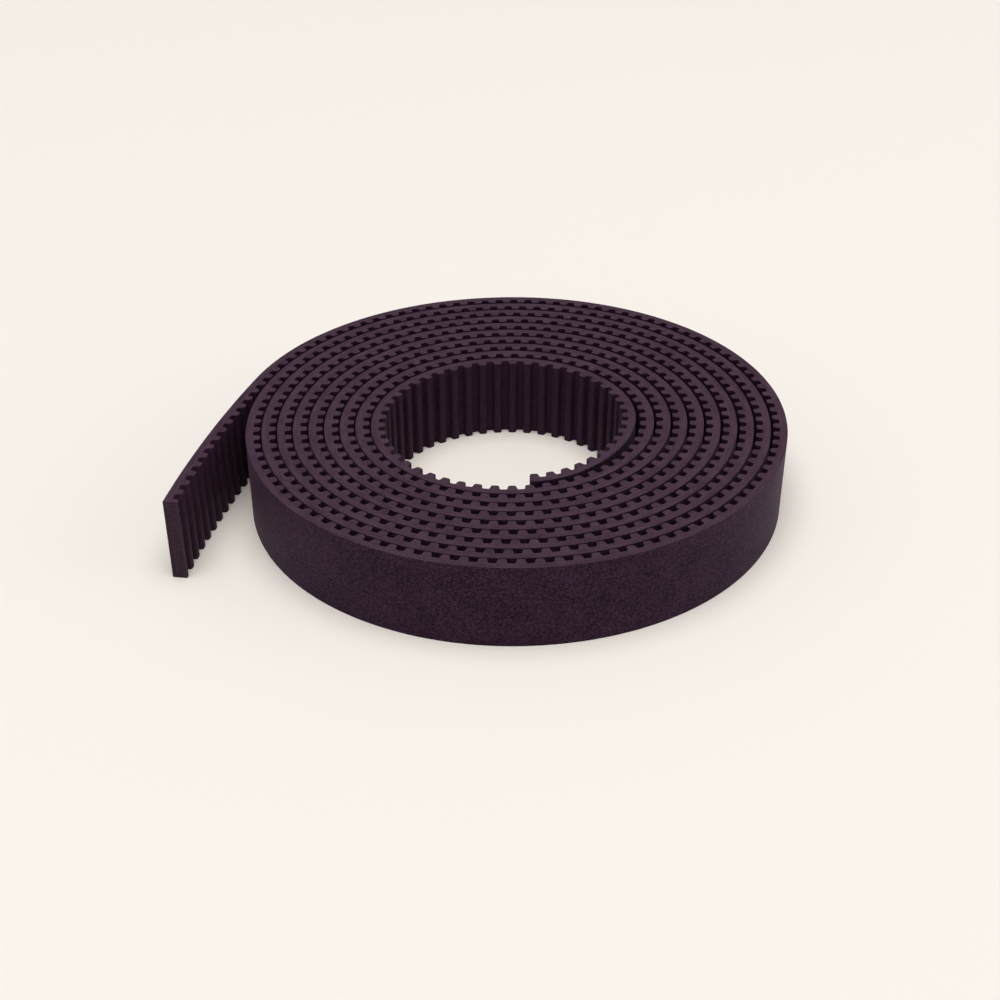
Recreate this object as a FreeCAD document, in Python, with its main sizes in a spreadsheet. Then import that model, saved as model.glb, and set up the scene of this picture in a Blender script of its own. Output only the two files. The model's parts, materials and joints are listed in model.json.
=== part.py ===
"""Open-ended toothed timing belt, wound into a flat coil that stands on its edge.

The belt's cord line is one chain of arcs, all turning anticlockwise seen from above:
the sprung inner free end, quarter arcs that wind the coil outwards, and the tail that
leaves the coil. Every piece is a layer of the belt between two offsets from that line.
The offset is positive towards the back of the belt and negative towards its teeth.
The free ends are cut into short links, so that they can flex about vertical axes.
"""
import FreeCAD, Part
import math
import os
from FreeCAD import Vector

DIMENSIONS = [
    ("belt_width", 15.0, "width of the belt, which is the height of the coil"),
    ("tooth_pitch", 3.0, "tooth to tooth along the cord line"),
    ("tooth_height", 1.15, "land to tooth tip, over the facing"),
    ("tooth_root_width", 1.75, "tooth width at the land, over the facing"),
    ("tooth_tip_width", 1.27, "tooth width at the tip, over the facing"),
    ("back_offset", 0.91, "cord line to the back of the belt"),
    ("land_offset", 0.44, "cord line to the land between teeth, over the facing"),
    ("facing_thickness", 0.15, "nylon tooth facing"),
    ("cord_layer", 0.36, "radial room that the tensile cords take"),
    ("cord_size", 0.30, "diameter of a tensile cord"),
    ("cord_count", 16, "tensile cords side by side"),
    ("cord_pitch", 0.93, "cord to cord across the width"),
    ("coil_pitch", 2.85, "turn to turn, on average"),
    ("coil_oval", 1.45, "how far the quarter arcs alternate in radius"),
    ("drift_side", 0.048, "half the outer turns' shift to +X for each turn"),
    ("drift_back", 0.0955, "half the outer turns' shift to +Y for each turn"),
    ("coil_inner_radius", 21.68, "cord line radius of the coil's first quarter arc"),
    ("spring_angle", 29.0, "direction at which the inner end springs off the coil, degrees"),
    ("curl_radius", 19.9, "inner end, where it springs off"),
    ("curl_length", 15.0, "length at that radius"),
    ("flat_radius", 25.6, "inner end, middle stretch"),
    ("flat_length", 18.0, "length at that radius"),
    ("tip_radius", 15.5, "inner end, at its cut end"),
    ("tip_length", 8.4, "length at that radius"),
    ("end_margin", 0.9, "cut inner end to its first tooth's centre"),
    ("coil_teeth", 713, "teeth from the cut inner end to where the tail leaves the coil"),
    ("tail_radius", 273.0, "slight bend that the tail keeps"),
    ("tail_root_teeth", 1, "teeth of the tail that stay with the coil"),
    ("tail_links", 7, "links of the tail"),
    ("tail_link_teeth", 2, "teeth on a link of the tail"),
    ("tail_stub", 0.3, "last tooth's centre to the tail's cut end"),
    ("inner_links", 4, "links of the inner free end"),
    ("inner_link_teeth", 3, "teeth on a link of the inner end"),
    ("link_gap", 0.06, "gap between two links on the cord line"),
    ("tail_back_opening", 14.0, "wedge between two tail links on the back, degrees"),
    ("tail_tooth_opening", 8.0, "wedge between two tail links on the teeth, degrees"),
    ("inner_back_opening", 3.0, "wedge between two inner links on the back, degrees"),
    ("inner_tooth_opening", 11.0, "wedge between two inner links on the teeth, degrees"),
    ("coil_sections", 10, "sections of the coil's layers, of about one turn each"),
]

doc = FreeCAD.newDocument("timing_belt")
sheet = doc.addObject("Spreadsheet::Sheet", "Dimensions")
for row, (alias, value, meaning) in enumerate(DIMENSIONS, start=1):
    sheet.set(f"A{row}", meaning)
    sheet.set(f"B{row}", str(value))
    sheet.setAlias(f"B{row}", alias)
doc.recompute()


def dim(alias):
    return float(sheet.get(alias))


def count(alias):
    return int(round(dim(alias)))


PITCH = dim("tooth_pitch")
BACK = dim("back_offset")
CORD_ROOM = dim("cord_layer") / 2
LAND = -dim("land_offset")
TIP = LAND - dim("tooth_height")
FACING = dim("facing_thickness")
QUARTER = math.pi / 2


def unit(angle):
    return Vector(math.cos(angle), math.sin(angle), 0)


# ---------------------------------------------------------------- cord line


class Arc:
    """A stretch of the cord line, turning anticlockwise about a centre."""

    def __init__(self, centre, radius, start_angle, length):
        self.centre = centre
        self.radius = radius
        self.start_angle = start_angle
        self.length = length
        self.start = 0.0

    def angle(self, distance):
        return self.start_angle + (distance - self.start) / self.radius

    def point(self, distance, offset):
        return self.centre + unit(self.angle(distance)) * (self.radius + offset)


def coil_step(angle):
    """How much the cord line's radius grows from one quarter arc to the next."""
    return (
        dim("coil_pitch") / 4
        - dim("coil_oval") * math.cos(2 * angle)
        - dim("drift_side") * math.cos(angle)
        - dim("drift_back") * math.sin(angle)
    )


def inner_end_arcs(joining_arc, joining_angle):
    """The free end, followed back from where it springs off the coil."""
    arcs = []
    angle = joining_angle
    corner = joining_arc.centre + unit(angle) * joining_arc.radius
    for stretch in ("curl", "flat", "tip"):
        radius = dim(stretch + "_radius")
        length = dim(stretch + "_length")
        centre = corner - unit(angle) * radius
        angle -= length / radius
        corner = centre + unit(angle) * radius
        arcs.insert(0, Arc(centre, radius, angle, length))
    return arcs


def cord_line():
    """All arcs from the cut inner end to the cut end of the tail."""
    radius = dim("coil_inner_radius")
    spring = math.radians(dim("spring_angle"))
    first = Arc(Vector(0, 0, 0), radius, spring, (QUARTER - spring) * radius)
    arcs = inner_end_arcs(first, spring) + [first]
    coil_end = dim("end_margin") + (dim("coil_teeth") - 0.5) * PITCH
    left = coil_end - sum(arc.length for arc in arcs)
    centre = first.centre
    angle = QUARTER
    while left > 0:
        step = coil_step(angle)
        centre = centre - unit(angle) * step
        radius += step
        length = min(left, QUARTER * radius)
        arcs.append(Arc(centre, radius, angle, length))
        left -= length
        angle += length / radius
    tail_teeth = count("tail_root_teeth") + count("tail_links") * count("tail_link_teeth")
    tail_length = (tail_teeth - 0.5) * PITCH + dim("tail_stub")
    corner = centre + unit(angle) * radius
    radius = dim("tail_radius")
    arcs.append(Arc(corner - unit(angle) * radius, radius, angle, tail_length))
    start = 0.0
    for arc in arcs:
        arc.start = start
        start += arc.length
    return arcs


ARCS = cord_line()
BELT_LENGTH = ARCS[-1].start + ARCS[-1].length
TEETH = count("coil_teeth") + count("tail_root_teeth")
TEETH += count("tail_links") * count("tail_link_teeth")


def arc_at(distance):
    for arc in reversed(ARCS):
        if distance >= arc.start - 1e-9:
            return arc
    return ARCS[0]


def tooth_centre(number):
    return dim("end_margin") + number * PITCH


def link_joint(teeth_before):
    """Distance along the belt of the land after so many teeth."""
    return dim("end_margin") + (teeth_before - 0.5) * PITCH


# ------------------------------------------------------------------ outlines


class Cut:
    """Where a stretch of belt ends: square, or leaning away from a link's axis."""

    def __init__(self, distance, side, back_opening=0.0, tooth_opening=0.0, gap=0.0):
        self.distance = distance
        self.side = side
        self.back = math.tan(math.radians(back_opening) / 2)
        self.teeth = math.tan(math.radians(tooth_opening) / 2)
        self.gap = gap / 2

    def along(self, offset):
        """Distance along the belt at which the cut crosses this offset."""
        lean = self.back * offset if offset > 0 else -self.teeth * offset
        radius = arc_at(self.distance).radius
        return self.distance + self.side * (self.gap + lean) * radius / (radius + offset)

    def point(self, offset):
        """The cut's crossing, on the arc that holds the stretch of belt."""
        inside = self.distance + self.side * 1e-6
        return arc_at(inside).point(self.along(offset), offset)


def arc_edges(start_cut, end_cut, offset):
    """Arcs of the belt at one offset, in order, from one cut to the other."""
    begin = start_cut.along(offset)
    finish = end_cut.along(offset)
    edges = []
    for arc in ARCS:
        low = max(arc.start, begin)
        high = min(arc.start + arc.length, finish)
        if high - low < 1e-6:
            continue
        middle = arc.point((low + high) / 2, offset)
        curve = Part.Arc(arc.point(low, offset), middle, arc.point(high, offset))
        edges.append(curve.toShape())
    return edges


def tooth_points(number, side_cover):
    """One tooth's corners, root, tip, tip, root, with a skin of side_cover left off."""
    arc = arc_at(tooth_centre(number))
    angle = arc.angle(tooth_centre(number))
    outward = unit(angle)
    along = unit(angle + QUARTER)
    middle = arc.centre + outward * arc.radius
    root = dim("tooth_root_width") / 2
    slope = (root - dim("tooth_tip_width") / 2) / dim("tooth_height")
    side_loss = side_cover * math.hypot(1, slope)
    points = []
    for offset, direction in ((LAND, -1), (TIP, -1), (TIP, 1), (LAND, 1)):
        level = offset + side_cover
        half_width = root + slope * (level - LAND) - side_loss
        points.append(middle + outward * level + along * (direction * half_width))
    return points


def profile_points(start_cut, end_cut, side_cover):
    """The toothed side of a stretch of belt, from one cut to the other."""
    level = LAND + side_cover
    tip_level = TIP + side_cover
    points = [start_cut.point(level)]
    for number in range(TEETH):
        centre = tooth_centre(number)
        if centre < start_cut.distance or centre > end_cut.distance:
            continue
        corners = tooth_points(number, side_cover)
        if end_cut.distance - centre < dim("tooth_tip_width") / 2:
            # the tail's cut end goes through this tooth, so it has no far side
            points.extend(corners[:2])
            points.append(end_cut.point(tip_level))
            return points
        points.extend(corners)
    points.append(end_cut.point(level))
    return points


def band_face(start_cut, end_cut, outer, inner):
    """A layer with smooth sides between two offsets."""
    outside = arc_edges(start_cut, end_cut, outer)
    inside = arc_edges(start_cut, end_cut, inner)
    start_edge = Part.makeLine(start_cut.point(inner), start_cut.point(outer))
    end_edge = Part.makeLine(end_cut.point(outer), end_cut.point(inner))
    edges = [start_edge] + outside + [end_edge] + inside[::-1]
    return Part.Face(Part.Wire(edges))


def tooth_strip_face(start_cut, end_cut):
    """Moulded teeth on the thin web under the cords."""
    outer = -CORD_ROOM
    corners = profile_points(start_cut, end_cut, FACING)
    edges = arc_edges(start_cut, end_cut, outer)
    edges.append(Part.makeLine(end_cut.point(outer), corners[-1]))
    edges.extend(Part.makePolygon(corners[::-1]).Edges)
    edges.append(Part.makeLine(corners[0], start_cut.point(outer)))
    return Part.Face(Part.Wire(edges))


def facing_face(start_cut, end_cut):
    """The woven skin that follows the teeth and lands."""
    upper = profile_points(start_cut, end_cut, FACING)
    lower = profile_points(start_cut, end_cut, 0.0)
    return Part.Face(Part.makePolygon(upper + lower[::-1] + upper[:1]))


# --------------------------------------------------------------------- cords


def cord_heights():
    """Heights of the cords' centres across the belt's width."""
    edge = (dim("belt_width") - (dim("cord_count") - 1) * dim("cord_pitch")) / 2
    return [edge + number * dim("cord_pitch") for number in range(count("cord_count"))]


def flat_cords(start_cut, end_cut):
    """The coil's cords, drawn square, one solid for each."""
    half = dim("cord_size") / 2
    face = band_face(start_cut, end_cut, half, -half)
    cord = face.extrude(Vector(0, 0, dim("cord_size")))
    return Part.makeCompound(
        [cord.translated(Vector(0, 0, height - half)) for height in cord_heights()]
    )


def round_cords(start_cut, end_cut):
    """A link's cords: rods bent to the link's own arc."""
    arc = arc_at(start_cut.distance + PITCH)
    begin = arc.angle(start_cut.along(0))
    sweep = math.degrees(arc.angle(end_cut.along(0)) - begin)
    middle = arc.centre + unit(begin) * arc.radius
    section = Part.makeCircle(dim("cord_size") / 2, middle, unit(begin + QUARTER))
    disc = Part.Face(Part.Wire([section]))
    cord = disc.revolve(arc.centre, Vector(0, 0, 1), sweep)
    return Part.makeCompound(
        [cord.translated(Vector(0, 0, height)) for height in cord_heights()]
    )


# ----------------------------------------------------------- document objects

sub_parts = []


def add_layer(label, face):
    """A layer of the belt: a flat outline extruded over the belt's width."""
    outline = doc.addObject("Part::Feature", "outline_" + label)
    outline.Label = "outline_" + label
    outline.Shape = face
    outline.Placement = ORIGIN
    layer = doc.addObject("Part::Extrusion", label)
    layer.Label = label
    layer.Base = outline
    layer.DirMode = "Custom"
    layer.Dir = Vector(0, 0, 1)
    layer.Solid = True
    layer.setExpression("LengthFwd", "Dimensions.belt_width")
    sub_parts.append(layer)


def add_cords(label, shape):
    cords = doc.addObject("Part::Feature", label)
    cords.Label = label
    cords.Shape = shape
    cords.Placement = ORIGIN
    sub_parts.append(cords)


def outline_origin():
    """The middle of the whole belt's footprint, which the row's frame starts from."""
    start = Cut(0.0, 1)
    end = Cut(BELT_LENGTH, -1)
    box = band_face(start, end, BACK, TIP).BoundBox
    return FreeCAD.Placement(Vector(-box.Center.x, -box.Center.y, 0), FreeCAD.Rotation())


ORIGIN = outline_origin()


def build_link(group, number, start_cut, end_cut):
    add_layer(f"{group}_backing_{number}", band_face(start_cut, end_cut, BACK, CORD_ROOM))
    add_layer(f"{group}_tooth_strip_{number}", tooth_strip_face(start_cut, end_cut))
    add_layer(f"{group}_tooth_facing_{number}", facing_face(start_cut, end_cut))
    add_cords(f"{group}_tensile_cords_{number}", round_cords(start_cut, end_cut))


def joint_cut(group, distance, side):
    return Cut(
        distance,
        side,
        dim(group + "_back_opening"),
        dim(group + "_tooth_opening"),
        dim("link_gap"),
    )


def inner_joint(number):
    return link_joint(number * count("inner_link_teeth"))


def tail_joint(number):
    teeth = count("coil_teeth") + count("tail_root_teeth")
    return link_joint(teeth + number * count("tail_link_teeth"))


def build_inner_end():
    """Links numbered outwards from the coil, so the last one has the cut end."""
    links = count("inner_links")
    for number in range(1, links + 1):
        far = links - number
        start_cut = joint_cut("inner", inner_joint(far), 1) if far else Cut(0.0, 1)
        end_cut = joint_cut("inner", inner_joint(far + 1), -1)
        build_link("inner_end", number, start_cut, end_cut)


def build_tail():
    links = count("tail_links")
    for number in range(1, links + 1):
        start_cut = joint_cut("tail", tail_joint(number - 1), 1)
        end_cut = Cut(BELT_LENGTH, -1)
        if number < links:
            end_cut = joint_cut("tail", tail_joint(number), -1)
        build_link("tail", number, start_cut, end_cut)


def coil_sections():
    """The cuts between which each section of the coil, of about a turn, lies."""
    joints = count("inner_links") * count("inner_link_teeth")
    teeth = count("coil_teeth") - joints
    sections = count("coil_sections")
    start_cut = joint_cut("inner", link_joint(joints), 1)
    cuts = []
    for number in range(1, sections):
        seam = link_joint(joints + round(number * teeth / sections))
        cuts.append((start_cut, Cut(seam, -1)))
        start_cut = Cut(seam, 1)
    cuts.append((start_cut, joint_cut("tail", tail_joint(0), -1)))
    return cuts


def build_coil():
    """The wound coil: a backing node for each section, its other layers one node each."""
    cuts = coil_sections()
    for number, (start_cut, end_cut) in enumerate(cuts, start=1):
        add_layer(f"coil_backing_{number:02d}", band_face(start_cut, end_cut, BACK, CORD_ROOM))
    add_layer("coil_tooth_strip", Part.makeCompound([tooth_strip_face(*pair) for pair in cuts]))
    add_layer("coil_tooth_facing", Part.makeCompound([facing_face(*pair) for pair in cuts]))
    add_cords("coil_tensile_cords", flat_cords(cuts[0][0], cuts[-1][1]))


build_coil()
build_inner_end()
build_tail()
doc.recompute()


# ------------------------------------------------------------ check and write


def check(item):
    if "Invalid" in item.State or "Error" in item.State:
        raise RuntimeError(f"{item.Label} failed: {item.State}")


for item in doc.Objects:
    check(item)
for item in sub_parts:
    if item.Shape.isNull() or not item.Shape.isValid() or not item.Shape.Solids:
        raise RuntimeError(f"{item.Label} has no valid solid")

os.makedirs("parts", exist_ok=True)
for item in sub_parts:
    item.Shape.exportStep(f"parts/{item.Label}.step")

print(f"belt {BELT_LENGTH:.1f} mm long, {TEETH} teeth, {len(sub_parts)} nodes")
print(f"the tail leaves the coil at {math.degrees(ARCS[-1].start_angle) % 360:.1f} degrees")
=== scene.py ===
"""Looks of the coiled timing belt.

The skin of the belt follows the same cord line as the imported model: arcs that all turn
anticlockwise, from the sprung inner end, out through the coil, to the tail. Each piece is
a layer of the belt between two lines that run beside the cord line. A station is one
crossing of the belt, with a point on each of those lines. All lengths are in metres.
"""
import json
import math

import bpy
import numpy as np
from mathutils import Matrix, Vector


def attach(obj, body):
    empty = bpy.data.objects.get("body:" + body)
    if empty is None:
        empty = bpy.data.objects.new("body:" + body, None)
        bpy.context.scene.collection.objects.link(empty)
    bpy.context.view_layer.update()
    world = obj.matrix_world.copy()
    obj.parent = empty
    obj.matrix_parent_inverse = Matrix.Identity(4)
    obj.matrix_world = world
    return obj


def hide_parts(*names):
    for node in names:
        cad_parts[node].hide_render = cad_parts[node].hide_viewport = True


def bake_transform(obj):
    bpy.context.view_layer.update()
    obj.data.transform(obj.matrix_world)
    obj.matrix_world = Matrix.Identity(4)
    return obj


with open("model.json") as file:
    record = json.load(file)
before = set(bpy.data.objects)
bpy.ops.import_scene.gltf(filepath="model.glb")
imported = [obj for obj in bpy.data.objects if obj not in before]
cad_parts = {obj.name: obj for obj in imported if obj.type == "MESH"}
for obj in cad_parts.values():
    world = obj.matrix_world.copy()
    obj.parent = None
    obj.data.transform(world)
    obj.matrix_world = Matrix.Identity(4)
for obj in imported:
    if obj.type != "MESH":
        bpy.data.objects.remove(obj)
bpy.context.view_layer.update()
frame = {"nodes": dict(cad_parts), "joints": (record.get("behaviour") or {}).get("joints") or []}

# ------------------------------------------------------- driving dimensions

MM = 0.001
QUARTER = math.pi / 2

# The belt's section. BACK is from the cord line to the belt's back, and a depth is from
# the cord line towards the teeth.
BELT_WIDTH = 15 * MM
PITCH = 3 * MM
BACK = 0.91 * MM
LAND_DEPTH = 0.44 * MM
TOOTH_HEIGHT = 1.15 * MM
ROOT_WIDTH = 1.75 * MM
TIP_WIDTH = 1.27 * MM
FACING = 0.15 * MM
TIP_ROUND = 0.36 * MM
ROOT_ROUND = 0.25 * MM
TIP_POINTS, ROOT_POINTS = 4, 3
EDGE_BEVEL = 0.05 * MM
SMOOTH_BELOW = math.radians(40)

# At a cut end the cords stand a little proud of the skin, and stations keep a little
# apart from the cut.
CORD_STAND = 0.03 * MM
CUT_CLEARANCE = 0.03 * MM

# The cord line's arcs. The inner end's are pairs of radius and length.
COIL_RADIUS = 21.68 * MM
COIL_PITCH = 2.85 * MM
COIL_OVAL = 1.45 * MM
DRIFT_SIDE = 0.048 * MM
DRIFT_BACK = 0.0955 * MM
SPRING_ANGLE = math.radians(29)
INNER_END_STRETCHES = ((19.9 * MM, 15 * MM), (25.6 * MM, 18 * MM), (15.5 * MM, 8.4 * MM))
END_MARGIN = 0.9 * MM
TAIL_RADIUS = 273 * MM
TAIL_STUB = 0.3 * MM

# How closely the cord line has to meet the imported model's.
SAME_PLACE = 0.01 * MM

# Teeth in each stretch, the coil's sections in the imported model, and the sections at
# which one stretch of the coil's skin ends and the next begins.
COIL_TEETH = 713
TAIL_ROOT_TEETH = 1
TAIL_LINKS, TAIL_LINK_TEETH = 7, 2
INNER_LINKS, INNER_LINK_TEETH = 4, 3
COIL_SECTIONS = 10
SKIN_SEAMS = (0, 3, 6, COIL_SECTIONS)
TEETH = COIL_TEETH + TAIL_ROOT_TEETH + TAIL_LINKS * TAIL_LINK_TEETH
TAIL_ROOT = COIL_TEETH + TAIL_ROOT_TEETH
INNER_ROOT = INNER_LINKS * INNER_LINK_TEETH

# The camera faces +Y and looks down at that angle.
CAMERA_FROM_COIL = Vector((-0.00185, -0.23610, 0.14735))
CAMERA_DOWN = math.radians(32.454)
CAMERA_LENS = 54.58
CAMERA_SENSOR = 36.0
CAMERA_NEAR = 10 * MM

# Looks. Each pair of colours is the darkest and the lightest of a material. YARN is one
# crossing of the facing's weave, and FIBRE the grain of a cut cord.
BACK_COLOURS = (0.0050, 0.0010, 0.0050), (0.0560, 0.0270, 0.0540)
SLIT_COLOURS = (0.0195, 0.0080, 0.0165), (0.0830, 0.0460, 0.0745)
# The cut ends' colours are the slit edges' darkened by about a third: painted shade on the end
# faces, which are the same knife-cut rubber.
SHADED_CUT_COLOURS = (0.0140, 0.0055, 0.0115), (0.0560, 0.0290, 0.0480)
FACING_COLOURS = (0.0150, 0.0050, 0.0140), (0.0440, 0.0175, 0.0400)
CORD_COLOURS = (0.022, 0.012, 0.016), (0.060, 0.040, 0.042)
SHEEN_COLOUR = (0.85, 0.58, 0.84)
SHEEN_ROUGHNESS = 0.45
YARN = 0.28 * MM
FIBRE = 0.05 * MM
FLOOR_COLOUR = (0.88, 0.842, 0.808)
FLOOR_ROUGHNESS = 0.9
FLOOR_REACH = 60.0

# Light. The surround's two heights are the sines of angles above the horizon.
LAMP_COLOUR = (1.0, 0.950, 0.880)
OVERHEAD_FROM = (0.0, -0.22, 2.5)
OVERHEAD_SPREAD = math.radians(53)
OVERHEAD_STRENGTH = 1.93
PANELS = (
    # name, place, diameter, watts
    ("softbox", (0.0, -0.6, 1.6), 1.6, 6.6),
    ("right_panel", (1.1, -0.15, 0.45), 0.9, 1.8),
    ("left_panel", (-1.05, -0.45, 0.45), 0.9, 0.6),
)
HORIZON_COLOUR = (0.800, 0.752, 0.705)
HORIZON_TOP = 0.06
SKY_COLOUR = (0.230, 0.255, 0.280)
SKY_BOTTOM = 0.25


# ---------------------------------------------------------------- cord line


def unit(angle):
    return np.stack([np.cos(angle), np.sin(angle)], axis=-1)


def boundary(teeth):
    """Distance along the belt of the land after so many teeth."""
    return END_MARGIN + (teeth - 0.5) * PITCH


def coil_step(angle):
    """How much the cord line's radius grows from one quarter arc to the next."""
    drift = DRIFT_SIDE * math.cos(angle) + DRIFT_BACK * math.sin(angle)
    return COIL_PITCH / 4 - COIL_OVAL * math.cos(2 * angle) - drift


def cord_arcs():
    """Arcs as (centre, radius, start angle, length), from the inner end to the tail's."""
    angle = SPRING_ANGLE
    corner = unit(angle) * COIL_RADIUS
    arcs = []
    for radius, length in INNER_END_STRETCHES:
        centre = corner - unit(angle) * radius
        angle -= length / radius
        corner = centre + unit(angle) * radius
        arcs.insert(0, (centre, radius, angle, length))
    centre, radius = np.zeros(2), COIL_RADIUS
    arcs.append((centre, radius, SPRING_ANGLE, (QUARTER - SPRING_ANGLE) * radius))
    left = boundary(COIL_TEETH) - sum(length for *_, length in arcs)
    angle = QUARTER
    while left > 0:
        step = coil_step(angle)
        centre = centre - unit(angle) * step
        radius += step
        length = min(left, QUARTER * radius)
        arcs.append((centre, radius, angle, length))
        left -= length
        angle += length / radius
    corner = centre + unit(angle) * radius
    tail_length = (TEETH - COIL_TEETH - 0.5) * PITCH + TAIL_STUB
    arcs.append((corner - unit(angle) * TAIL_RADIUS, TAIL_RADIUS, angle, tail_length))
    return arcs


ARC_CENTRES, ARC_RADII, ARC_ANGLES, ARC_LENGTHS = map(np.array, zip(*cord_arcs()))
ARC_STARTS = np.concatenate([[0], np.cumsum(ARC_LENGTHS)])
BELT_LENGTH = ARC_STARTS[-1]


def arc_frame(distance):
    """Centre, radius and angle of the cord line at each distance along it."""
    index = np.searchsorted(ARC_STARTS[1:-1], distance, side="right")
    radius = ARC_RADII[index]
    angle = ARC_ANGLES[index] + (distance - ARC_STARTS[index]) / radius
    return ARC_CENTRES[index], radius, angle


def cord_point(distance):
    centre, radius, angle = arc_frame(np.array(distance))
    return centre + radius * unit(angle)


def belt_origin():
    """Where the cord line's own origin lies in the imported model's frame."""
    places = {joint["name"]: joint["pos_m"][:2] for joint in frame["joints"]}
    origin = np.array(places["tail_bend_1"]) - cord_point(boundary(TAIL_ROOT))
    other = np.array(places["inner_end_bend_1"]) - cord_point(boundary(INNER_ROOT))
    if np.abs(origin - other).max() > SAME_PLACE:
        raise RuntimeError("the skin's cord line is not the packed model's")
    return origin


ORIGIN = belt_origin()


# ------------------------------------------------------------------ stations


def fillet(before, corner, after, radius, count):
    """Points round a corner of an outline, and the unit normals on its right."""
    come = (corner - before) / np.linalg.norm(corner - before)
    leave = (after - corner) / np.linalg.norm(after - corner)
    cross = come[0] * leave[1] - come[1] * leave[0]
    turn = math.asin(cross)
    reach = radius * math.tan(abs(turn) / 2)
    side = math.copysign(1, turn)
    centre = corner - come * reach + side * radius * np.array([-come[1], come[0]])
    points, normals = [], []
    for share in np.linspace(0, 1, count):
        angle = share * turn
        cos, sin = math.cos(angle), math.sin(angle)
        along = np.array([come[0] * cos - come[1] * sin, come[0] * sin + come[1] * cos])
        normal = np.array([along[1], -along[0]])
        points.append(centre + side * radius * normal)
        normals.append(normal)
    return points, normals


def tooth_outline():
    """One tooth's facing, outside and inside, as points (along the belt, depth)."""
    tip_depth = LAND_DEPTH + TOOTH_HEIGHT
    corners = [
        np.array(point)
        for point in (
            (-PITCH / 2, LAND_DEPTH),
            (-ROOT_WIDTH / 2, LAND_DEPTH),
            (-TIP_WIDTH / 2, tip_depth),
            (TIP_WIDTH / 2, tip_depth),
            (ROOT_WIDTH / 2, LAND_DEPTH),
            (PITCH / 2, LAND_DEPTH),
        )
    ]
    points, normals = [], []
    for before, corner, after in zip(corners, corners[1:], corners[2:]):
        at_tip = corner[1] == tip_depth
        radius, count = (TIP_ROUND, TIP_POINTS) if at_tip else (ROOT_ROUND, ROOT_POINTS)
        new_points, new_normals = fillet(before, corner, after, radius, count)
        points += new_points
        normals += new_normals
    outside = np.array(points)
    return outside, outside + np.array(normals) * FACING


OUTSIDE, INSIDE = tooth_outline()


def crossing(distance, depths):
    """A straight crossing of the belt: a point at each depth below the cord line."""
    centre, radius, angle = arc_frame(np.array(distance))
    return [centre + (radius - depth) * unit(angle) for depth in depths]


def land_crossing(distance):
    """The crossing at a land, where the belt is thinnest."""
    return crossing(distance, (-BACK, 0.0, LAND_DEPTH - FACING, LAND_DEPTH))


def cut_crossing(along, distance):
    """The crossing where the belt is cut through a tooth, at that place along the tooth."""
    inner = np.interp(along, INSIDE[:, 0], INSIDE[:, 1])
    outer = np.interp(along, OUTSIDE[:, 0], OUTSIDE[:, 1])
    return crossing(distance, (-BACK, 0.0, inner, outer))


def tooth_crossings(tooth, first, last):
    """The crossings of one tooth whose outside lies between two places along it."""
    centre, radius, angle = arc_frame(np.array(END_MARGIN + tooth * PITCH))
    outward, onward = unit(angle), unit(angle + QUARTER)
    middle = centre + radius * outward
    made = []
    for outside, inside in zip(OUTSIDE, INSIDE):
        if not first < outside[0] < last:
            continue
        facing = middle + onward * outside[0] - outward * outside[1]
        rubber = middle + onward * inside[0] - outward * inside[1]
        turned = angle + math.atan2(inside[0], radius - inside[1])
        cord = centre + radius * unit(turned)
        back = centre + (radius + BACK) * unit(turned)
        made.append([back, cord, rubber, facing])
    return made


def all_stations():
    """Every station of the belt, and the station of each land between two teeth."""
    start, end = CORD_STAND, BELT_LENGTH - CORD_STAND
    stations = [cut_crossing(start - END_MARGIN, start)]
    lands = [0]
    for tooth in range(TEETH):
        centre = END_MARGIN + tooth * PITCH
        first, last = start - centre + CUT_CLEARANCE, end - centre - CUT_CLEARANCE
        stations += tooth_crossings(tooth, first, last)
        if tooth < TEETH - 1:
            lands.append(len(stations))
            stations.append(land_crossing(boundary(tooth + 1)))
    lands.append(len(stations))
    stations.append(cut_crossing(TAIL_STUB - CORD_STAND, end))
    return np.array(stations) + ORIGIN, lands


STATIONS, LANDS = all_stations()
LINES = {"back": 0, "cord": 1, "rubber": 2, "facing": 3}


def running_length(line):
    """Distance of every station from the first one, along one of the lines."""
    steps = np.linalg.norm(np.diff(STATIONS[:, LINES[line]], axis=0), axis=1)
    return np.concatenate([[0], np.cumsum(steps)])


# ----------------------------------------------------------------- materials


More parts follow.
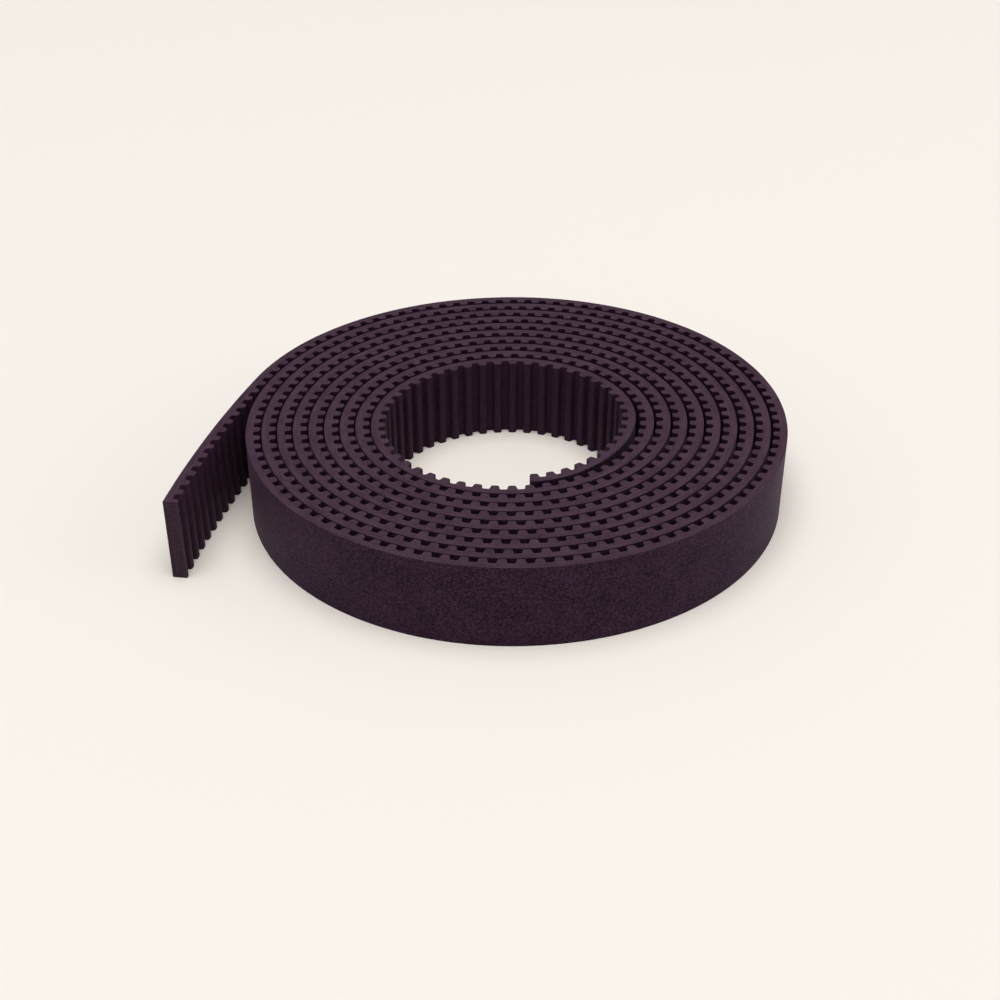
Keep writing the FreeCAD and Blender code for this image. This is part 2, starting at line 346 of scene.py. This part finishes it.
class Nodes:
    """A material's node tree, with short calls for the nodes that repeat."""

    def __init__(self, name):
        self.material = bpy.data.materials.new(name)
        self.material.use_nodes = True
        self.tree = self.material.node_tree
        self.shader = self.tree.nodes["Principled BSDF"]
        self.place = self.tree.nodes.new("ShaderNodeAttribute")
        self.place.attribute_name = "belt_place"

    def add(self, kind, **settings):
        """A new node, with its settings by name."""
        node = self.tree.nodes.new(kind)
        for key, value in settings.items():
            setattr(node, key, value)
        return node

    def link(self, output, socket):
        self.tree.links.new(output, socket)

    def math(self, operation, first, second=0.0):
        """One operation on two values, each a number or another node's output."""
        node = self.add("ShaderNodeMath", operation=operation)
        for value, socket in zip((first, second), node.inputs):
            if isinstance(value, (int, float)):
                socket.default_value = value
            else:
                self.link(value, socket)
        return node.outputs[0]

    def counted(self, along, through, across):
        """The place on the belt, counted in features of that size in each direction."""
        node = self.add("ShaderNodeVectorMath", operation="MULTIPLY")
        self.link(self.place.outputs["Vector"], node.inputs[0])
        node.inputs[1].default_value = (1 / along, 1 / through, 1 / across)
        return node.outputs[0]

    def noise(self, along, through, across, detail, roughness=0.6):
        """Noise with features of that size in each direction."""
        node = self.add("ShaderNodeTexNoise")
        node.inputs["Scale"].default_value = 1.0
        node.inputs["Detail"].default_value = detail
        node.inputs["Roughness"].default_value = roughness
        self.link(self.counted(along, through, across), node.inputs["Vector"])
        return node.outputs["Fac"]

    def blend(self, *layers):
        """Adds up patterns, each given with its weight."""
        total = None
        for pattern, weight in layers:
            weighted = self.math("MULTIPLY", pattern, weight)
            total = weighted if total is None else self.math("ADD", total, weighted)
        return total

    def ramp(self, factor, colours, low=0.3, high=0.7):
        """From the dark colour to the light one as the factor goes from low to high."""
        dark, light = colours
        node = self.add("ShaderNodeValToRGB")
        node.color_ramp.elements[0].position = low
        node.color_ramp.elements[0].color = (*dark, 1)
        node.color_ramp.elements[1].position = high
        node.color_ramp.elements[1].color = (*light, 1)
        self.link(factor, node.inputs["Fac"])
        return node.outputs["Color"]

    def spread(self, factor, low, high):
        """Maps a factor of 0 to 1 onto low to high."""
        node = self.add("ShaderNodeMapRange")
        node.inputs["To Min"].default_value = low
        node.inputs["To Max"].default_value = high
        self.link(factor, node.inputs["Value"])
        return node.outputs["Result"]

    def bump(self, height, depth, strength=1.0):
        node = self.add("ShaderNodeBump")
        node.inputs["Strength"].default_value = strength
        node.inputs["Distance"].default_value = depth
        self.link(height, node.inputs["Height"])
        self.link(node.outputs["Normal"], self.shader.inputs["Normal"])

    def shine(self, specular, sheen):
        """Gloss, and the soft bloom that dusty rubber shows at a shallow angle."""
        self.shader.inputs["Specular IOR Level"].default_value = specular
        self.shader.inputs["Sheen Weight"].default_value = sheen
        self.shader.inputs["Sheen Roughness"].default_value = SHEEN_ROUGHNESS
        self.shader.inputs["Sheen Tint"].default_value = (*SHEEN_COLOUR, 1)


def ground_rubber():
    """The belt's back: matte rubber, speckled, with faint grinding marks along the belt."""
    nodes = Nodes("ground_rubber")
    grain = nodes.noise(along=0.34 * MM, through=0.34 * MM, across=0.30 * MM, detail=2)
    marks = nodes.noise(along=2.2 * MM, through=0.3 * MM, across=0.11 * MM, detail=3)
    clouds = nodes.noise(along=7 * MM, through=3 * MM, across=5 * MM, detail=2)
    tone = nodes.blend((grain, 0.6), (marks, 0.28), (clouds, 0.12))
    colour = nodes.ramp(tone, BACK_COLOURS, low=0.38, high=0.66)
    nodes.link(colour, nodes.shader.inputs["Base Color"])
    nodes.link(nodes.spread(grain, low=0.56, high=0.7), nodes.shader.inputs["Roughness"])
    nodes.bump(tone, depth=0.03 * MM)
    nodes.shine(specular=0.045, sheen=0.06)
    return nodes.material


def cut_rubber(name, colours):
    """Rubber where a knife went through: open grain with short knife marks."""
    nodes = Nodes(name)
    grain = nodes.noise(
        along=0.35 * MM, through=0.22 * MM, across=0.3 * MM, detail=5, roughness=0.7
    )
    drag = nodes.noise(along=2.4 * MM, through=0.11 * MM, across=0.11 * MM, detail=3)
    clouds = nodes.noise(along=6 * MM, through=6 * MM, across=6 * MM, detail=2)
    tone = nodes.blend((grain, 0.5), (drag, 0.3), (clouds, 0.2))
    colour = nodes.ramp(tone, colours, low=0.36, high=0.62)
    nodes.link(colour, nodes.shader.inputs["Base Color"])
    nodes.link(nodes.spread(grain, low=0.7, high=0.9), nodes.shader.inputs["Roughness"])
    nodes.bump(tone, depth=0.035 * MM)
    nodes.shine(specular=0.1, sheen=0.0)
    return nodes.material


def woven_facing():
    """Plain-woven nylon, dipped in rubber, that covers the teeth and lands."""
    nodes = Nodes("woven_facing")
    split = nodes.add("ShaderNodeSeparateXYZ")
    nodes.link(nodes.counted(along=YARN, through=YARN, across=YARN), split.inputs[0])
    along, across = split.outputs["X"], split.outputs["Z"]
    cells = nodes.math("ADD", nodes.math("FLOOR", along), nodes.math("FLOOR", across))
    parity = nodes.math("MODULO", cells, 2.0)
    warp = nodes.math("SINE", nodes.math("MULTIPLY", nodes.math("FRACT", across), math.pi))
    weft = nodes.math("SINE", nodes.math("MULTIPLY", nodes.math("FRACT", along), math.pi))
    pick = nodes.add("ShaderNodeMix", data_type="FLOAT")
    nodes.link(parity, pick.inputs["Factor"])
    nodes.link(warp, pick.inputs["A"])
    nodes.link(weft, pick.inputs["B"])
    weave = pick.outputs["Result"]
    dip = nodes.noise(along=1.2 * MM, through=1.2 * MM, across=1.2 * MM, detail=4)
    tone = nodes.blend((weave, 0.35), (dip, 0.65))
    colour = nodes.ramp(tone, FACING_COLOURS, low=0.3, high=0.75)
    nodes.link(colour, nodes.shader.inputs["Base Color"])
    nodes.link(nodes.spread(dip, low=0.5, high=0.72), nodes.shader.inputs["Roughness"])
    nodes.bump(weave, depth=0.03 * MM, strength=0.8)
    nodes.shine(specular=0.1, sheen=0.01)
    return nodes.material


def dipped_cord():
    """Twisted glass fibre in dark adhesive, seen only at the two cut ends."""
    nodes = Nodes("dipped_cord")
    position = nodes.add("ShaderNodeTexCoord")
    fibres = nodes.add("ShaderNodeTexNoise")
    fibres.inputs["Scale"].default_value = 1 / FIBRE
    nodes.link(position.outputs["Object"], fibres.inputs["Vector"])
    grain = fibres.outputs["Fac"]
    nodes.link(nodes.ramp(grain, CORD_COLOURS), nodes.shader.inputs["Base Color"])
    nodes.link(nodes.spread(grain, low=0.5, high=0.75), nodes.shader.inputs["Roughness"])
    nodes.bump(grain, depth=0.01 * MM)
    nodes.shine(specular=0.2, sheen=0.0)
    return nodes.material


GROUND_RUBBER = ground_rubber()
SLIT_EDGE = cut_rubber("slit_edge", SLIT_COLOURS)
# The cut ends of the backing and the tooth strip get a darker copy of the slit edges' rubber, as
# painted shade.
SHADED_CUT_END = cut_rubber("shaded_cut_end", SHADED_CUT_COLOURS)
WOVEN_FACING = woven_facing()
DIPPED_CORD = dipped_cord()


# -------------------------------------------------------------------- pieces

# For each layer: the line inside the belt, the line it shows, whether the shown side's
# edges are bevelled, the record's material slot, and its looks: the materials of the
# shown side, of the slit edges and of the cut ends.
BACKING_LOOKS = (GROUND_RUBBER, SLIT_EDGE, SHADED_CUT_END)
STRIP_LOOKS = (SLIT_EDGE, SLIT_EDGE, SHADED_CUT_END)
FACING_LOOKS = (WOVEN_FACING, SLIT_EDGE, SLIT_EDGE)
LAYERS = {
    "backing": ("cord", "back", True, "backing_rubber", BACKING_LOOKS),
    "tooth_strip": ("cord", "rubber", False, "tooth_rubber", STRIP_LOOKS),
    "tooth_facing": ("rubber", "facing", True, "tooth_facing", FACING_LOOKS),
}
SHOWN_SIDE, SLIT_SIDE, CUT_SIDE = range(3)


def section_loop(bevelled):
    """A layer's cross section, as corners (line, height). An inset corner starts a bevel."""
    if not bevelled:
        return [("hidden", 0.0), ("hidden", BELT_WIDTH), ("shown", BELT_WIDTH), ("shown", 0.0)]
    return [
        ("hidden", 0.0),
        ("hidden", BELT_WIDTH),
        ("inset", BELT_WIDTH),
        ("shown", BELT_WIDTH - EDGE_BEVEL),
        ("shown", EDGE_BEVEL),
        ("inset", 0.0),
    ]


def layer_faces(loop, count, turn):
    """Faces round a layer and its two cut ends, with the index of each one's material.

    The backing is on the other side of the cord line from the teeth, so its faces are
    wound the other way: turn is 1 for it and -1 for the rest.
    """
    size = len(loop)
    lower = np.arange(count - 1) * size
    faces, materials = [], []
    for index in range(size):
        other = (index + 1) % size
        quads = np.stack(
            [lower + index, lower + other, lower + size + other, lower + size + index], axis=1
        )
        faces += quads[:, ::turn].tolist()
        edge = "hidden" in (loop[index][0], loop[other][0])
        materials += [SLIT_SIDE if edge else SHOWN_SIDE] * (count - 1)
    start_cap = list(range(size))[::-turn]
    end_cap = [(count - 1) * size + index for index in range(size)][::turn]
    return faces + [start_cap, end_cap], materials + [CUT_SIDE, CUT_SIDE]


def build_layer(name, layer, first, last):
    """One layer of the belt between two stations, as a closed mesh."""
    hidden_line, shown_line, bevelled, slot, looks = LAYERS[layer]
    hidden = STATIONS[first : last + 1, LINES[hidden_line]]
    shown = STATIONS[first : last + 1, LINES[shown_line]]
    across = shown - hidden
    thickness = np.linalg.norm(across, axis=1, keepdims=True)
    inset = shown - across / thickness * EDGE_BEVEL
    lines = {"hidden": hidden, "shown": shown, "inset": inset}
    loop = section_loop(bevelled)
    count, size = len(shown), len(loop)
    points = np.zeros((count, size, 3))
    place = np.zeros((count, size, 3))
    place[:, :, 0] = running_length(shown_line)[first : last + 1, None]
    for index, (line, height) in enumerate(loop):
        points[:, index, :2] = lines[line]
        points[:, index, 2] = height
        if line != "hidden":
            place[:, index, 1] = thickness[:, 0]
        place[:, index, 2] = height
    faces, materials = layer_faces(loop, count, 1 if layer == "backing" else -1)
    mesh = bpy.data.meshes.new(name)
    mesh.from_pydata(points.reshape(-1, 3).tolist(), [], faces)
    for material in looks:
        mesh.materials.append(material)
    mesh.polygons.foreach_set("material_index", materials)
    places = mesh.attributes.new("belt_place", "FLOAT_VECTOR", "POINT")
    places.data.foreach_set("vector", place.astype(np.float32).ravel())
    mesh.shade_smooth()
    mesh.set_sharp_from_angle(angle=SMOOTH_BELOW)
    mesh.validate()
    piece = bpy.data.objects.new(name, mesh)
    bpy.context.scene.collection.objects.link(piece)
    return piece


def coil_seams():
    """Teeth before each end of the coil's skins, and the CAD sections that each replaces."""
    teeth = COIL_TEETH - INNER_ROOT
    seams = []
    for low, high in zip(SKIN_SEAMS, SKIN_SEAMS[1:]):
        start = INNER_ROOT + max(1, round(low * teeth / COIL_SECTIONS))
        end = INNER_ROOT + round(high * teeth / COIL_SECTIONS)
        seams.append((start, end, range(low + 1, high + 1)))
    return seams


def build_coil():
    for number, (start, end, sections) in enumerate(coil_seams(), start=1):
        for layer in LAYERS:
            piece = build_layer(f"coil_{layer}_skin_{number}", layer, LANDS[start], LANDS[end])
            if layer == "backing":
                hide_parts(*[f"coil_backing_{section:02d}" for section in sections])
            else:
                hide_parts(f"coil_{layer}")
            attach(piece, "coil")


def blend_over_joint(piece):
    """Bakes a piece's placement into its mesh."""
    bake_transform(piece)


def build_tail():
    for number in range(1, TAIL_LINKS + 1):
        joint = TAIL_ROOT + (number - 1) * TAIL_LINK_TEETH
        last = LANDS[joint + 1] if number < TAIL_LINKS else LANDS[TEETH]
        for layer in LAYERS:
            piece = build_layer(f"tail_{layer}_skin_{number}", layer, LANDS[joint - 1], last)
            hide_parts(f"tail_{layer}_{number}")
            blend_over_joint(piece)


def build_inner_end():
    for number in range(1, INNER_LINKS + 1):
        joint = (INNER_LINKS + 1 - number) * INNER_LINK_TEETH
        first = LANDS[joint - 2] if number < INNER_LINKS else LANDS[0]
        for layer in LAYERS:
            piece = build_layer(f"inner_end_{layer}_skin_{number}", layer, first, LANDS[joint + 1])
            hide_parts(f"inner_end_{layer}_{number}")
            blend_over_joint(piece)


def finish_cords():
    """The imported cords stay, in their own material."""
    for name, node in frame["nodes"].items():
        if "tensile_cords" in name:
            node.data.materials.clear()
            node.data.materials.append(DIPPED_CORD)


# --------------------------------------------------------------------- stage


def build_floor():
    signs = ((-1, -1), (1, -1), (1, 1), (-1, 1))
    corners = [(FLOOR_REACH * x, FLOOR_REACH * y, 0) for x, y in signs]
    mesh = bpy.data.meshes.new("floor")
    mesh.from_pydata(corners, [], [(0, 1, 2, 3)])
    floor = bpy.data.objects.new("floor", mesh)
    bpy.context.scene.collection.objects.link(floor)
    material = bpy.data.materials.new("floor_paper")
    material.use_nodes = True
    shader = material.node_tree.nodes["Principled BSDF"]
    shader.inputs["Base Color"].default_value = (*FLOOR_COLOUR, 1)
    shader.inputs["Roughness"].default_value = FLOOR_ROUGHNESS
    shader.inputs["Specular IOR Level"].default_value = 0.0
    mesh.materials.append(material)


def add_lamp(name, kind, place, energy):
    """A light that faces the middle of the footprint."""
    lamp = bpy.data.lights.new(name, kind)
    lamp.energy = energy
    lamp.color = LAMP_COLOUR
    lit = bpy.data.objects.new(name, lamp)
    lit.location = place
    lit.rotation_euler = Vector(place).to_track_quat("Z", "Y").to_euler()
    bpy.context.scene.collection.objects.link(lit)
    return lit


def add_panel(name, place, size, energy):
    """A round soft light that isn't itself seen."""
    panel = add_lamp(name, "AREA", place, energy)
    panel.visible_camera = False
    panel.data.shape = "DISK"
    panel.data.size = size


def add_sky(tree):
    """The surround: dim and cool overhead, and about as pale as the floor at the horizon."""
    background = tree.nodes["Background"]
    direction = tree.nodes.new("ShaderNodeTexCoord")
    split = tree.nodes.new("ShaderNodeSeparateXYZ")
    tree.links.new(direction.outputs["Generated"], split.inputs[0])
    ramp = tree.nodes.new("ShaderNodeValToRGB")
    ramp.color_ramp.interpolation = "EASE"
    ramp.color_ramp.elements[0].position = HORIZON_TOP
    ramp.color_ramp.elements[0].color = (*HORIZON_COLOUR, 1)
    ramp.color_ramp.elements[1].position = SKY_BOTTOM
    ramp.color_ramp.elements[1].color = (*SKY_COLOUR, 1)
    tree.links.new(split.outputs["Z"], ramp.inputs["Fac"])
    tree.links.new(ramp.outputs["Color"], background.inputs["Color"])
    background.inputs["Strength"].default_value = 1.0


def build_light():
    """An overhead light as wide as a cloud, weak panels for shape and a pale surround."""
    world = bpy.data.worlds.new("studio")
    world.use_nodes = True
    add_sky(world.node_tree)
    bpy.context.scene.world = world
    overhead = add_lamp("overhead", "SUN", OVERHEAD_FROM, OVERHEAD_STRENGTH)
    overhead.data.angle = OVERHEAD_SPREAD
    for panel in PANELS:
        add_panel(*panel)


def coil_centre():
    """The cord line's own origin, on the floor. It is near the middle of the coil's hole."""
    return Vector((ORIGIN[0], ORIGIN[1], 0))


def build_camera():
    data = bpy.data.cameras.new("camera")
    data.lens = CAMERA_LENS
    data.sensor_width = CAMERA_SENSOR
    data.clip_start = CAMERA_NEAR
    camera = bpy.data.objects.new("camera", data)
    camera.location = coil_centre() + CAMERA_FROM_COIL
    camera.rotation_euler = (QUARTER - CAMERA_DOWN, 0, 0)
    bpy.context.scene.collection.objects.link(camera)
    bpy.context.scene.camera = camera


build_coil()
build_tail()
build_inner_end()
finish_cords()
build_floor()
build_light()
build_camera()
bpy.context.scene.view_settings.view_transform = "Standard"
